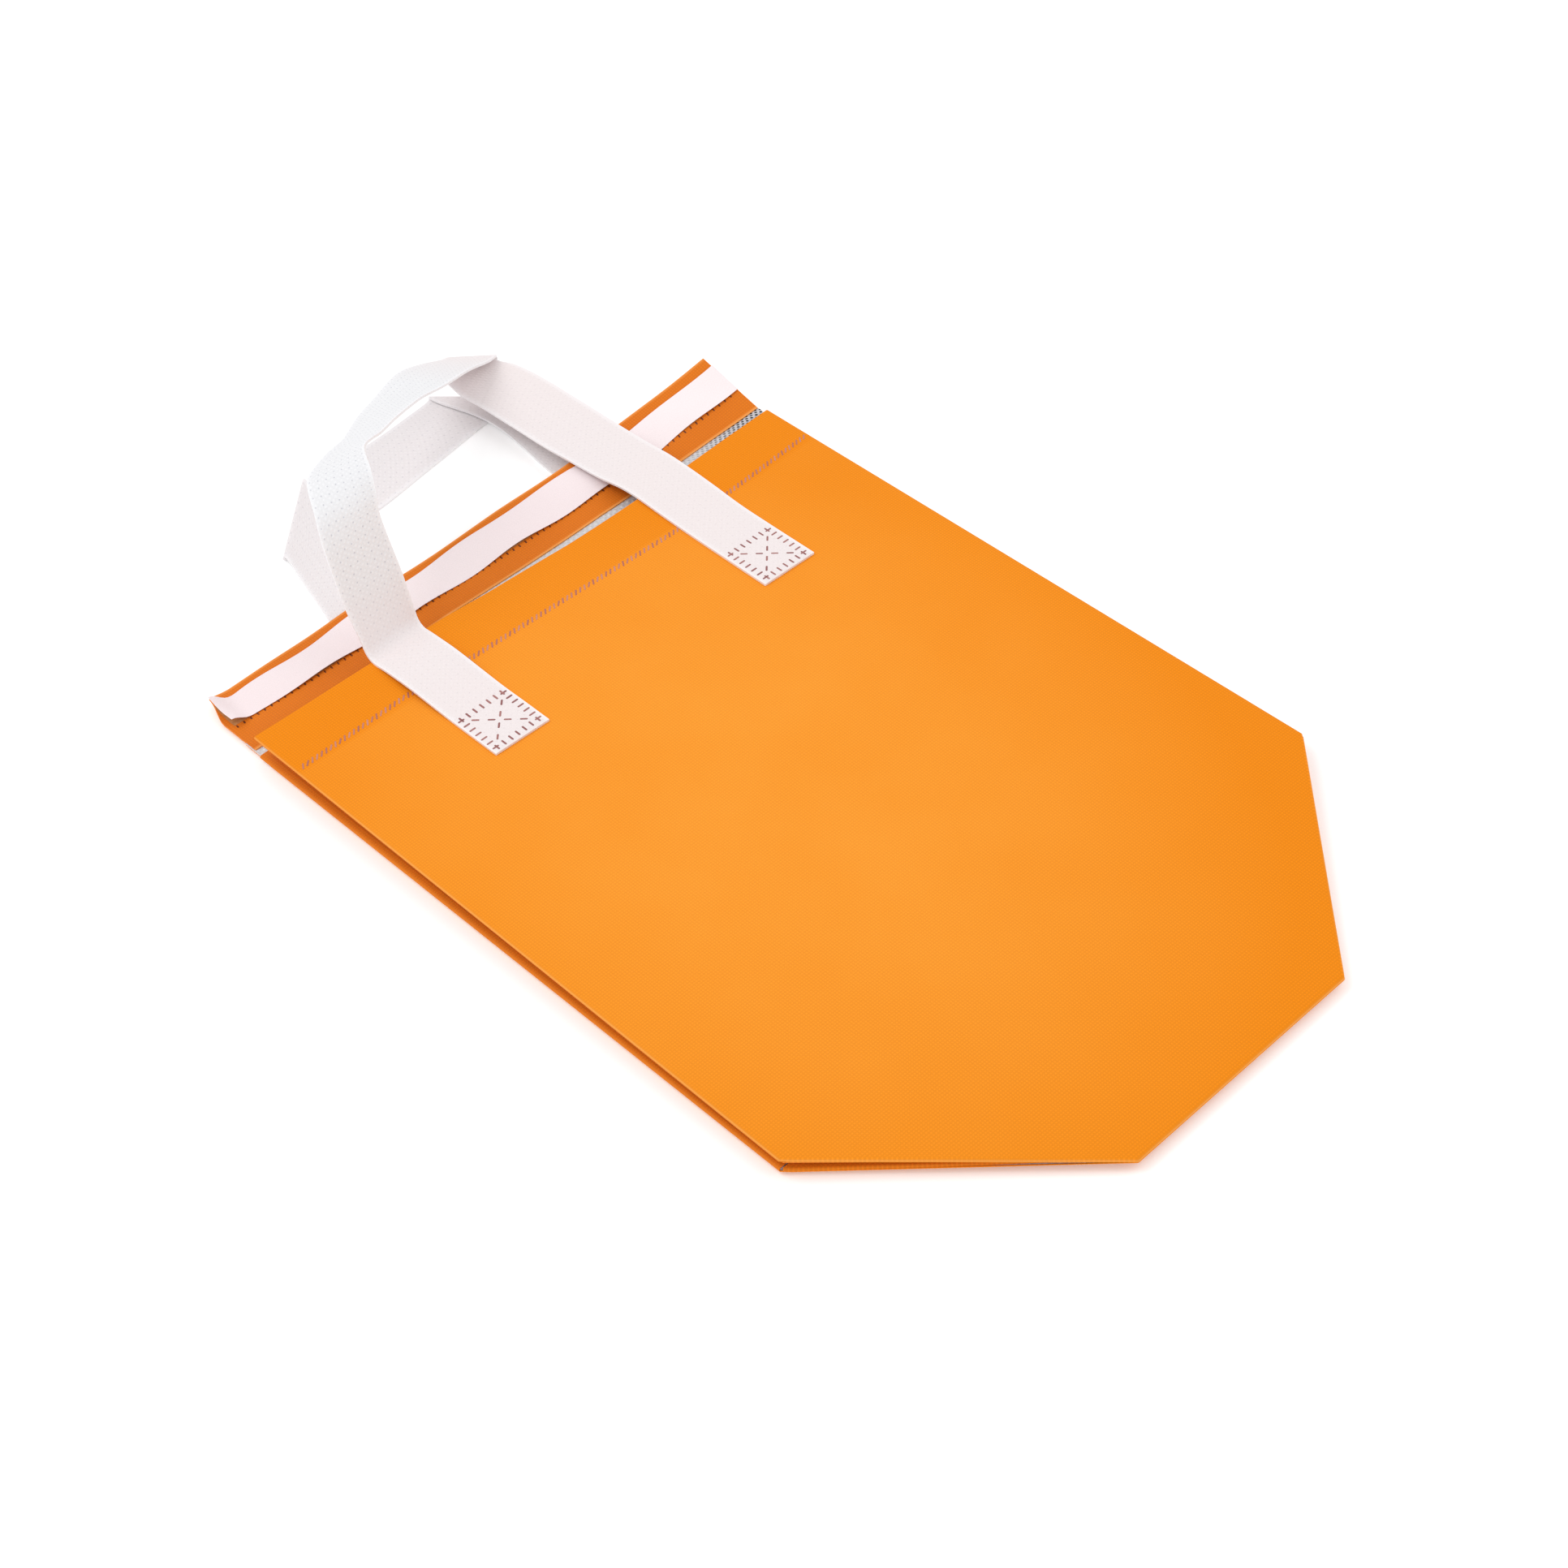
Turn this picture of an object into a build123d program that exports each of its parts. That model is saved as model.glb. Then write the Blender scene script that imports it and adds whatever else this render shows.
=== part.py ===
from build123d import *
from math import asin, cos, degrees, sqrt
import os

# Flat-folded insulated carrier bag, lying on its back panel.
# Frame: X across the width, +Y from the bottom fold to the mouth, +Z up.
# The origin is the centre of the back panel's underside.

# ---- driving dimensions, mm ----
WIDTH = 330.0            # across the front panel
DEPTH = 200.0            # side gusset and base, when open
HEIGHT = 350.0           # bottom crease to mouth
PLY = 0.5                # outer non-woven ply
LINING = 0.7             # thin foam with its metallised film
WALL = PLY + LINING
WALL_SPACE = 8.0         # between the two big linings, as folded
CREASE_GAP = 0.15        # clearance of each panel from its crease line
HEM = 31.0               # outer ply turned inside at the front mouth
HEM_WELD = 2.4           # height of the row of hem welds
WELD_LIFT = 0.12         # raised rim of a weld row above its ply

SPINE = 15.0             # silver fold strip between mouth and flap
FLAP = 41.0              # orange closing flap beyond the fold strip
FLAP_TRIM = 0.6          # the flap is this much narrower on each side
ADHESIVE = (324.0, 25.0, 0.1)
ADHESIVE_EDGE = 9.0      # flap's fold to the near edge of the adhesive
LINER = (326.0, 27.0, 0.15)
LINER_GAP = 0.05

STRAP = 33.0             # handle strap width
STRAP_THICK = 1.2
LOOP_LIFT = 0.3          # the front loop's legs clear the hem weld by this much
FOLD_SINK = 0.2          # turned-over strap runs merge this deep at a fold
LEG_X = 82.5             # handle leg centre lines
SWING_Y = 115.0          # line about which both handle loops swing
PATCH = 29.0             # square weld pattern
PATCH_INSET = 2.0        # strap end to the weld pattern
DASHES = 7               # weld dashes on each side of the square
DASH = (2.6, 0.9)        # one dash, long and wide
DASH_RECESS = 0.1        # welds lie this far below the strap's face
DIAGONAL_DASHES = 4

# ---- folded geometry ----
half_width = WIDTH / 2
half_depth = DEPTH / 2
mouth_y = HEIGHT / 2
crease_y = -mouth_y
fold_sin = (WALL_SPACE - 2 * WALL) / DEPTH
for _ in range(20):
    fold_sin = (WALL_SPACE - 2 * WALL * sqrt(1 - fold_sin**2)) / DEPTH
fold_angle = asin(fold_sin)
fold_cos = cos(fold_angle)
back_z = WALL                       # lining surface of the back panel
front_z = back_z + WALL_SPACE       # lining surface of the front panel
top_z = front_z + WALL              # outer surface of the front panel
flap_y = mouth_y + SPINE
tip_y = flap_y + FLAP
strap_mid = STRAP_THICK / 2

# Inner and outer edge of each handle loop, at its folds and where it turns.
front_rise = [
    ((-57.2, 205.4, 65.0), (-90.1, 206.8, 62.0)),
    ((-50.0, 216.0, 80.0), (-80.5, 226.5, 76.0)),
    ((-44.0, 230.0, 84.0), (-41.0, 255.0, 70.0)),
    ((0.6, 256.6, 66.0), (-0.6, 286.4, 54.0)),
    ((42.1, 282.5, 44.0), (47.5, 314.5, 39.0)),
]
front_fold = ((105.0, 303.5), (73.5, 328.5))
front_crease_y = mouth_y + 1.0
back_left_fold = ((-31.0, 317.0), (-75.2, 273.5))
back_right_fold = ((57.6, 324.6), (94.0, 285.0))
back_inner_edge = ((-19.3, 270.6), (64.6, 284.9))

os.makedirs("parts", exist_ok=True)


def save(name, builder):
    builder.part.label = name
    export_step(builder.part, f"parts/{name}.step")


def sheet(plane, outline, start, thickness):
    """A flat sheet on a plane, from an offset, over a polygon outline."""
    with BuildPart() as flat:
        with BuildSketch(plane.offset(start)):
            Polygon(*outline, align=None)
        extrude(amount=thickness)
    return flat


def rectangle(x_half, y_low, y_high):
    return [(-x_half, y_low), (x_half, y_low), (x_half, y_high), (-x_half, y_high)]


def wall(name, plane, outline):
    """Two plies on a plane that lies on the lining's inner surface."""
    save(f"{name}_lining", sheet(plane, outline, 0, LINING))
    save(f"{name}_outer", sheet(plane, outline, LINING, PLY))


# ---- back and front panels ----
back_plane = Plane(origin=(0, 0, back_z), x_dir=(-1, 0, 0), z_dir=(0, 0, -1))
front_plane = Plane(origin=(0, 0, front_z), x_dir=(1, 0, 0), z_dir=(0, 0, 1))
panel_low = crease_y + CREASE_GAP
hem_y = mouth_y - HEM

wall("back_panel", back_plane, rectangle(half_width, panel_low, mouth_y - CREASE_GAP))
save("front_panel_outer",
     sheet(front_plane, rectangle(half_width, panel_low, mouth_y), LINING, PLY))
save("front_panel_lining",
     sheet(front_plane, rectangle(half_width, panel_low, hem_y), 0, LINING))
save("front_hem", sheet(front_plane, rectangle(half_width, hem_y, mouth_y), 0, LINING))
save("front_hem_weld",
     sheet(front_plane, rectangle(half_width - 1, hem_y - HEM_WELD, hem_y), WALL, WELD_LIFT))

# ---- fold strip and closing flap, which carry on from the back panel ----
flap_half = half_width - FLAP_TRIM
wall("fold_strip", back_plane,
     rectangle(flap_half, mouth_y + CREASE_GAP, flap_y - CREASE_GAP))
flap_outline = rectangle(flap_half, flap_y + CREASE_GAP, tip_y)
save("flap_facing", sheet(back_plane, flap_outline, 0, LINING))
save("flap_outer", sheet(back_plane, flap_outline, LINING, PLY))
top_plane = Plane(origin=(0, 0, back_z), x_dir=(1, 0, 0), z_dir=(0, 0, 1))
adhesive_length, adhesive_width, adhesive_thick = ADHESIVE
adhesive_y = flap_y + ADHESIVE_EDGE
save("flap_adhesive",
     sheet(top_plane,
           rectangle(adhesive_length / 2, adhesive_y, adhesive_y + adhesive_width),
           0, adhesive_thick))
liner_length, liner_width, liner_thick = LINER
liner_y = adhesive_y - (liner_width - adhesive_width) / 2
save("release_liner",
     sheet(top_plane, rectangle(liner_length / 2, liner_y, liner_y + liner_width),
           adhesive_thick + LINER_GAP, liner_thick))
save("flap_hem_weld",
     sheet(top_plane,
           rectangle(flap_half - 1, liner_y - 1.5 * HEM_WELD, liner_y - 0.5 * HEM_WELD),
           0, WELD_LIFT))

# ---- bottom: two trapezoids that meet in the ridge ----
base_low_half = half_width - CREASE_GAP
base_top = half_depth - CREASE_GAP
base_top_half = half_width - base_top
base_outline = [(CREASE_GAP, -base_low_half), (base_top, -base_top_half),
                (base_top, base_top_half), (CREASE_GAP, base_low_half)]


def base_plane(rise, lining_z):
    return Plane(origin=(0, crease_y, lining_z), x_dir=(0, -fold_cos, rise * fold_sin),
                 z_dir=(0, -fold_sin, -rise * fold_cos))


wall("back_base", base_plane(1, back_z), base_outline)
wall("front_base", base_plane(-1, front_z), base_outline)

# ---- side gussets and the corner webs that carry on from them ----
seam_gap = CREASE_GAP * (1 + sqrt(2))


def gusset_plane(side, rise, lining_z):
    """Local x runs inwards from the side crease; local y is along Y, signed."""
    return Plane(origin=(side * half_width, 0, lining_z),
                 x_dir=(-side * fold_cos, 0, rise * fold_sin),
                 z_dir=(side * fold_sin, 0, rise * fold_cos))


def along_y(points, side, rise):
    return [(across, -side * rise * y) for across, y in points]


gusset_inner = half_depth - CREASE_GAP
gusset_outline = [(CREASE_GAP, panel_low), (gusset_inner, panel_low),
                  (gusset_inner, mouth_y), (CREASE_GAP, mouth_y)]
web_high = crease_y - CREASE_GAP
web_outline = [(seam_gap, web_high), (gusset_inner, web_high),
               (gusset_inner, crease_y - gusset_inner + seam_gap)]

for side_name, side in (("left", -1), ("right", 1)):
    for half_name, rise, lining_z in (("back", 1, back_z), ("front", -1, front_z)):
        half_plane = gusset_plane(side, rise, lining_z)
        wall(f"{side_name}_gusset_{half_name}", half_plane,
             along_y(gusset_outline, side, rise))
        wall(f"{side_name}_web_{half_name}", half_plane,
             along_y(web_outline, side, rise))


# ---- handle ends, welded to the outer plies ----
def dash_places(center_y):
    """Places and turns of the weld dashes: a square with both diagonals."""
    places = []
    pitch = PATCH / DASHES
    edge = PATCH / 2 - DASH[0] / 2
    for step in range(DASHES):
        run = (step + 0.5) * pitch - PATCH / 2
        if abs(run) < edge:
            places += [(run, -edge, 90), (run, edge, 90)]
            places += [(-edge, run, 0), (edge, run, 0)]
    reach = PATCH / 2 - 2.2 * DASH[0]
    for step in range(DIAGONAL_DASHES):
        run = reach * (2 * step / (DIAGONAL_DASHES - 1) - 1)
        places += [(run, run, 45), (run, -run, -45)]
    return [(x, y + center_y, turn) for x, y, turn in places]


def dashes(plane, leg_x, center_y, length, depth):
    with BuildPart() as group:
        with BuildSketch(plane):
            for x, y, turn in dash_places(center_y):
                with Locations(Location((leg_x + x, y), turn)):
                    SlotOverall(length, DASH[1])
        extrude(amount=depth)
    return group


def handle_ends(name, plane, end_y):
    """Two strap ends, each with its welds, on a plane on the outer ply."""
    weld_height = STRAP_THICK - DASH_RECESS
    with BuildPart() as ends:
        for leg_x, low_y in end_y:
            with BuildSketch(plane):
                Polygon((leg_x - STRAP / 2, low_y), (leg_x + STRAP / 2, low_y),
                        (leg_x + STRAP / 2, SWING_Y - CREASE_GAP),
                        (leg_x - STRAP / 2, SWING_Y - CREASE_GAP), align=None)
            extrude(amount=STRAP_THICK)
        for leg_x, low_y in end_y:
            center_y = low_y + PATCH_INSET + PATCH / 2
            add(dashes(plane, leg_x, center_y, DASH[0], STRAP_THICK).part,
                mode=Mode.SUBTRACT)
    save(f"{name}_handle_ends", ends)
    with BuildPart() as welds:
        for leg_x, low_y in end_y:
            center_y = low_y + PATCH_INSET + PATCH / 2
            add(dashes(plane, leg_x, center_y, DASH[0], weld_height).part)
    save(f"{name}_handle_welds", welds)


outer_front = Plane(origin=(0, 0, top_z), x_dir=(1, 0, 0), z_dir=(0, 0, 1))
outer_back = Plane(origin=(0, 0, 0), x_dir=(-1, 0, 0), z_dir=(0, 0, -1))
handle_ends("front", outer_front, ((-LEG_X, 81.0), (LEG_X, 74.0)))
handle_ends("back", outer_back, ((-LEG_X, 78.0), (LEG_X, 78.0)))


# ---- handle loops ----
def facet(a, b, c):
    """A flat triangle of strap between three points of its middle surface."""
    plane = Plane(origin=a, x_dir=b - a, z_dir=(b - a).cross(c - a))
    flat_points = [plane.to_local_coords(point) for point in (a, b, c)]
    with BuildPart() as flat:
        with BuildSketch(plane):
            Polygon(*[(point.X, point.Y) for point in flat_points], align=None)
        extrude(amount=STRAP_THICK / 2, both=True)
    return flat


def strap_run(lines):
    """A strap that bends along lines, each from its inner to its outer edge."""
    edges = [(Vector(*inner), Vector(*outer)) for inner, outer in lines]
    with BuildPart() as run:
        for (inner, outer), (next_inner, next_outer) in zip(edges[:-1], edges[1:]):
            add(facet(inner, outer, next_outer).part)
            add(facet(inner, next_outer, next_inner).part)
    return run


def level(points, z):
    return [(x, y, z) for x, y in points]


leg_in, leg_out = LEG_X - STRAP / 2, LEG_X + STRAP / 2
front_mid = top_z + LOOP_LIFT + strap_mid
swing_start = SWING_Y + CREASE_GAP
front_arch = strap_run([
    ((-leg_in, swing_start, front_mid), (-leg_out, swing_start, front_mid)),
    ((-leg_in, front_crease_y, front_mid), (-leg_out, front_crease_y, front_mid)),
    *front_rise,
    level(front_fold, front_mid + STRAP_THICK - FOLD_SINK),
])
with BuildPart() as front_loop:
    add(front_arch.part)
    with BuildSketch(outer_front.offset(LOOP_LIFT)):
        Polygon((leg_in, swing_start), (leg_out, swing_start),
                front_fold[0], front_fold[1], align=None)
    extrude(amount=STRAP_THICK)
save("front_handle_loop", front_loop)

# The back loop lies under the bag: its legs pass over the cross run at the far end.
under_z = -strap_mid
over_z = strap_mid - FOLD_SINK
left_leg = strap_run([
    ((-leg_in, swing_start, under_z), (-leg_out, swing_start, under_z)),
    ((-leg_in, mouth_y + 2, under_z), (-leg_out, mouth_y + 2, under_z)),
    ((-50.5, tip_y + 8, under_z), (-84.0, tip_y + 3, under_z)),
    level(back_left_fold, over_z),
])
right_leg = strap_run([
    ((leg_in, swing_start, under_z), (leg_out, swing_start, under_z)),
    ((leg_in, mouth_y + 2, under_z), (leg_out, mouth_y + 2, under_z)),
    ((60.5, tip_y + 4, under_z), (93.5, tip_y + 2, under_z)),
    level(back_right_fold, over_z),
])
with BuildPart() as back_loop:
    with BuildSketch(outer_back):
        Polygon(*[(-x, y) for x, y in (back_left_fold[1], *back_inner_edge,
                                       back_right_fold[1], back_right_fold[0],
                                       back_left_fold[0])], align=None)
    extrude(amount=STRAP_THICK)
    add(left_leg.part)
    add(right_leg.part)
save("back_handle_loop", back_loop)

print("fold angle", degrees(fold_angle))
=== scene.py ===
import math

import bmesh
import bpy
import numpy as np
from mathutils import Matrix, Vector


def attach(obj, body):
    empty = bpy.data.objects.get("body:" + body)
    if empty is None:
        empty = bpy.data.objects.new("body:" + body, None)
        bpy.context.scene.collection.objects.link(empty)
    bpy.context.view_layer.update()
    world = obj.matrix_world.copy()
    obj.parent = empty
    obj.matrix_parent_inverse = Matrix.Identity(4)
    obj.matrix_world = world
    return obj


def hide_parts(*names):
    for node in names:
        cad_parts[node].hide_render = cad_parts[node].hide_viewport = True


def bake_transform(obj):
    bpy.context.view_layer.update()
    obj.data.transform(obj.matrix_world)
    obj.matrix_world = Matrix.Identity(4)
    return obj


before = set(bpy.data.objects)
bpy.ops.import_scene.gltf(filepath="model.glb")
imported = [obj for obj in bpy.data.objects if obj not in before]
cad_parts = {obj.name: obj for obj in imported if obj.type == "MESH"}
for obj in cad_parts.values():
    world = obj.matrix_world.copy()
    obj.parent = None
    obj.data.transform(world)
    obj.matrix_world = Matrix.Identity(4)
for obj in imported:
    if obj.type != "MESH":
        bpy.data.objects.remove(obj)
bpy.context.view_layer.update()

# Lengths below are in mm, in the frame of the part, and become metres in build().
# X runs across the bag, +Y from the folded bottom to the mouth, and +Z is up.
MM = 0.001
THICK = 1.2                 # lining's inner surface to the outer ply's outer surface
OUTER = (0.7, THICK)        # outer ply, measured from the lining's inner surface
LINING = (0.0, 0.66)        # lining ply, measured the same way
LINING_SHARE = 0.9985       # the lining is a little narrower than the outer ply
HALF = 165.0                # half of the bag's width
CENTRE_X = 65.0             # the gussets' centre creases, each side of the middle
CREASE_Y = -175             # where the walls fold to the base
BASE_END = -276             # the bottom ridge of the folded base
BASE_REACH = 101            # crease to ridge
BASE_INSET = 99.5           # how far each side of the base narrows over that
WALL_START, WALL_REACH = -174.8, 348.8
# The front's heights at the start and end of each stretch, at its left and right.
WALL_LEFT, WALL_RIGHT = (8.7, 14.1), (9.6, 14.3)
BASE_LEFT, BASE_RIGHT = (5.1, 8.7), (4.9, 9.6)
FLAP_HALF = 164.6           # half of the flap's width
FACING_DROP = 0.7           # the flap's top to the seam between its plies
STRAP_WIDTH = 33.0
WELD_DASH = (3.7, 0.95, 0.1)    # length, width and depth of a strap weld's mark


def unit(v):
    return v / np.maximum(np.linalg.norm(v, axis=-1, keepdims=True), 1e-9)


def smooth(t):
    t = np.clip(t, 0, 1)
    return t * t * (3 - 2 * t)


def mix(a, b, t):
    return a + (b - a) * t


# ---------------------------------------------------------------- materials
def node(tree, kind, **values):
    made = tree.nodes.new(kind)
    for key, value in values.items():
        if hasattr(made, key):
            setattr(made, key, value)
        else:
            made.inputs[key.replace("_", " ")].default_value = value
    return made


def ramp(tree, source, low, high, dark=(0, 0, 0, 1), light=(1, 1, 1, 1)):
    made = node(tree, "ShaderNodeValToRGB")
    made.color_ramp.elements[0].position = low
    made.color_ramp.elements[0].color = dark
    made.color_ramp.elements[1].position = high
    made.color_ramp.elements[1].color = light
    tree.links.new(source, made.inputs[0])
    return made.outputs[0]


def math_node(tree, operation, a, b):
    made = node(tree, "ShaderNodeMath", operation=operation)
    for socket, value in zip(made.inputs, (a, b)):
        if isinstance(value, (int, float)):
            socket.default_value = value
        else:
            tree.links.new(value, socket)
    return made.outputs[0]


def tint(tree, factor, below, above, mode="MIX"):
    made = node(tree, "ShaderNodeMix", data_type="RGBA", blend_type=mode)
    for index, value in ((0, factor), (6, below), (7, above)):
        if isinstance(value, (int, float, tuple)):
            made.inputs[index].default_value = value
        else:
            tree.links.new(value, made.inputs[index])
    return made.outputs[2]


def rgb(red, green, blue):
    """An sRGB colour, 0 to 255, as a linear one."""
    def linear(c):
        c /= 255
        return c / 12.92 if c <= 0.04045 else ((c + 0.055) / 1.055) ** 2.4
    return (linear(red), linear(green), linear(blue), 1.0)


def waves(tree, vector, pitch, turn):
    """Bands of one pitch in metres across the cloth, turned by an angle."""
    mapping = node(tree, "ShaderNodeMapping")
    mapping.inputs["Rotation"].default_value = (0, 0, math.radians(turn))
    tree.links.new(vector, mapping.inputs["Vector"])
    wave = node(tree, "ShaderNodeTexWave", Scale=0.31416 / pitch, Distortion=0.6,
                Detail=1.0)
    wave.inputs["Detail Scale"].default_value = 1.5
    tree.links.new(mapping.outputs[0], wave.inputs["Vector"])
    return wave.outputs["Fac"]


def noise(tree, vector, scale, detail=3.0):
    made = node(tree, "ShaderNodeTexNoise", Scale=scale, Detail=detail)
    tree.links.new(vector, made.inputs["Vector"])
    return made.outputs["Fac"]


def cloth_material(name, base, deep, highlight_colour, pitch, turn=0, bump=0.12, rough=0.75,
                   sheen=0.25, metallic=0.0, crinkle=0.0, dots=None, bounce_tint=None,
                   grain=0.16, dots_by_tone=False, gloss=0.3):
    """Embossed non-woven cloth: base colour, a deeper colour mixed in by an attribute for
    its own variation and painted light, and painted highlights on edges.
    """
    material = bpy.data.materials.new(name)
    material.use_nodes = True
    tree = material.node_tree
    shader = tree.nodes["Principled BSDF"]
    uv = node(tree, "ShaderNodeUVMap", uv_map="Cloth").outputs[0]
    # The attribute read here moves the colour to the deep one: the cloth's own variation
    # on some pieces, painted shade or painted bounce light on others.
    tone = node(tree, "ShaderNodeAttribute", attribute_name="ToneAndPaintedLight").outputs["Fac"]
    wear = node(tree, "ShaderNodeAttribute", attribute_name="EdgeHighlight").outputs["Fac"]
    patches = ramp(tree, noise(tree, uv, 14.0), 0.35, 0.7)
    fibres = noise(tree, uv, 1400.0, 2.0)
    weave = math_node(tree, "MULTIPLY", waves(tree, uv, pitch, turn),
                      waves(tree, uv, pitch, turn + 90))
    colour = tint(tree, tone, base, deep)
    colour = tint(tree, math_node(tree, "MULTIPLY", patches, 0.25), colour, deep)
    weave_shade = math_node(tree, "MULTIPLY_ADD", weave, grain)
    weave_shade.node.inputs[2].default_value = 1 - 0.8 * grain
    fleck = math_node(tree, "MULTIPLY_ADD", fibres, 0.14)
    fleck.node.inputs[2].default_value = 0.93
    shade = math_node(tree, "MULTIPLY", weave_shade, fleck)
    bright = node(tree, "ShaderNodeCombineColor")
    for socket in bright.inputs:
        tree.links.new(shade, socket)
    colour = tint(tree, 1.0, colour, bright.outputs[0], "MULTIPLY")
    if dots:
        size, dot_colour = dots
        spots = math_node(tree, "MULTIPLY", waves(tree, uv, size, 0),
                          waves(tree, uv, size, 90))
        shown = ramp(tree, spots, 0.86, 0.95)
        if dots_by_tone:
            spots = math_node(tree, "MULTIPLY", waves(tree, uv, size, 35),
                              waves(tree, uv, 0.6 * size, 125))
            shown = math_node(tree, "MULTIPLY", ramp(tree, spots, 0.25, 0.45), tone)
        colour = tint(tree, shown, colour, dot_colour)
    # Painted reflection: a pink tint for light bounced off nearby orange cloth, mixed in
    # by the colour attribute.
    if bounce_tint:
        colour = tint(tree, tone, colour, bounce_tint)
    # Painted highlight: the edge attribute lifts folded and cut edges towards the pale
    # highlight colour.
    colour = tint(tree, wear, colour, highlight_colour)
    tree.links.new(colour, shader.inputs["Base Color"])
    rough_value = math_node(tree, "MULTIPLY_ADD", fibres, 0.2)
    rough_value.node.inputs[2].default_value = rough - 0.1
    tree.links.new(rough_value, shader.inputs["Roughness"])
    height = math_node(tree, "ADD", math_node(tree, "MULTIPLY", weave, 6.0 * grain),
                       math_node(tree, "MULTIPLY", fibres, 0.5))
    if crinkle:
        creases = noise(tree, uv, 60.0, 4.0)
        height = math_node(tree, "ADD", height,
                           math_node(tree, "MULTIPLY", creases, crinkle))
    relief = node(tree, "ShaderNodeBump", Strength=0.6, Distance=bump * MM)
    tree.links.new(height, relief.inputs["Height"])
    tree.links.new(relief.outputs[0], shader.inputs["Normal"])
    shader.inputs["Metallic"].default_value = metallic
    shader.inputs["Sheen Weight"].default_value = sheen
    shader.inputs["Sheen Roughness"].default_value = 0.5
    shader.inputs["Specular IOR Level"].default_value = gloss
    return material


# Painted shade: the orange's deeper colour marks the light falling off away from the
# middle; its pale third colour is the painted edge highlight.
ORANGE = cloth_material("orange_cloth", rgb(252, 157, 46), rgb(242, 138, 4),
                        rgb(255, 190, 110), 0.0014, sheen=0.02,
                        gloss=0.14)
FACING = cloth_material("facing_cloth", rgb(232, 124, 0), rgb(214, 100, 0),
                        rgb(252, 176, 96), 0.0014, sheen=0.05)
# Painted shade: a darker copy of the orange for the gussets, for the shade in the
# folded-in recess.
GUSSET_SHADED = cloth_material("gusset_cloth_shaded", rgb(238, 130, 4), rgb(218, 108, 0),
                        rgb(236, 140, 60), 0.0014, sheen=0.04)
MOUTH_FILM = cloth_material("mouth_film", rgb(228, 228, 230), rgb(206, 206, 210),
                            rgb(250, 250, 250), 0.003, turn=45, bump=0.5, rough=0.42,
                            sheen=0.0, metallic=0.15, crinkle=2.0,
                            dots=(0.0026, rgb(20, 20, 22)), dots_by_tone=True)
SILVER = cloth_material("silver_film", rgb(226, 226, 228), rgb(170, 172, 178),
                        rgb(250, 250, 250), 0.003, turn=45, bump=0.5, rough=0.42,
                        sheen=0.0, metallic=0.15, crinkle=2.0)
# Painted reflection: the strap's deeper and pink colours stand for light bounced off the
# orange near the panel.
STRAP_CLOTH = cloth_material("strap_cloth", rgb(235, 235, 237), rgb(222, 222, 226),
                             rgb(250, 250, 252), 0.0022, turn=45, bump=0.3,
                             rough=0.7, dots=(0.0042, rgb(204, 204, 210)),
                             bounce_tint=rgb(240, 224, 221), sheen=0.1, grain=0.07)
PAPER = cloth_material("liner_paper", rgb(246, 234, 235), rgb(236, 220, 222),
                       rgb(252, 246, 246), 0.004, bump=0.12, rough=0.5, sheen=0.0,
                       crinkle=1.2, grain=0.0)
TACK = cloth_material("tacky_band", rgb(206, 150, 96), rgb(190, 130, 76),
                      rgb(220, 170, 120), 0.003, bump=0.1, rough=0.25, sheen=0.0)
MAUVE = cloth_material("weld_mauve", rgb(176, 122, 118), rgb(150, 96, 96),
                       rgb(190, 140, 136), 0.001, rough=0.4, sheen=0.0)
PINK = cloth_material("hem_weld_pink", rgb(212, 142, 120), rgb(184, 108, 88),
                      rgb(226, 150, 130), 0.001, rough=0.4, sheen=0.0)
BROWN = cloth_material("flap_weld_brown", rgb(132, 66, 24), rgb(110, 50, 16),
                       rgb(150, 84, 40), 0.001, rough=0.4, sheen=0.0)


# ---------------------------------------------------------------- meshes
def build(name, points, faces, uv, material, slot, wear=0.0, tone=0.0, rim=0):
    """A mesh from points in mm; the last rim faces keep sharp edges."""
    mesh = bpy.data.meshes.new(name)
    mesh.from_pydata((np.asarray(points) * MM).tolist(), [], faces)
    for key, values in (("EdgeHighlight", wear), ("ToneAndPaintedLight", tone)):
        layer = mesh.attributes.new(key, "FLOAT", "POINT")
        layer.data.foreach_set("value", np.broadcast_to(
            np.asarray(values, float), len(points)).astype(np.float32))
    loops = np.zeros(len(mesh.loops), np.int32)
    mesh.loops.foreach_get("vertex_index", loops)
    mesh.uv_layers.new(name="Cloth").data.foreach_set(
        "uv", (np.asarray(uv, float)[loops] * MM).astype(np.float32).ravel())
    edit = bmesh.new()
    edit.from_mesh(mesh)
    edit.faces.ensure_lookup_table()
    for face in edit.faces:
        face.smooth = True
    for face in edit.faces[len(faces) - rim:] if rim else []:
        for edge in face.edges:
            edge.smooth = False
    bmesh.ops.recalc_face_normals(edit, faces=edit.faces)
    edit.to_mesh(mesh)
    edit.free()
    piece = bpy.data.objects.new(name, mesh)
    bpy.context.scene.collection.objects.link(piece)
    mesh.materials.append(material)
    return piece


def grid_faces(rows, cols):
    index = np.arange(rows * cols).reshape(rows, cols)
    quads = np.stack([index[:-1, :-1], index[:-1, 1:], index[1:, 1:], index[1:, :-1]], -1)
    return index, quads.reshape(-1, 4).tolist()


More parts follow.
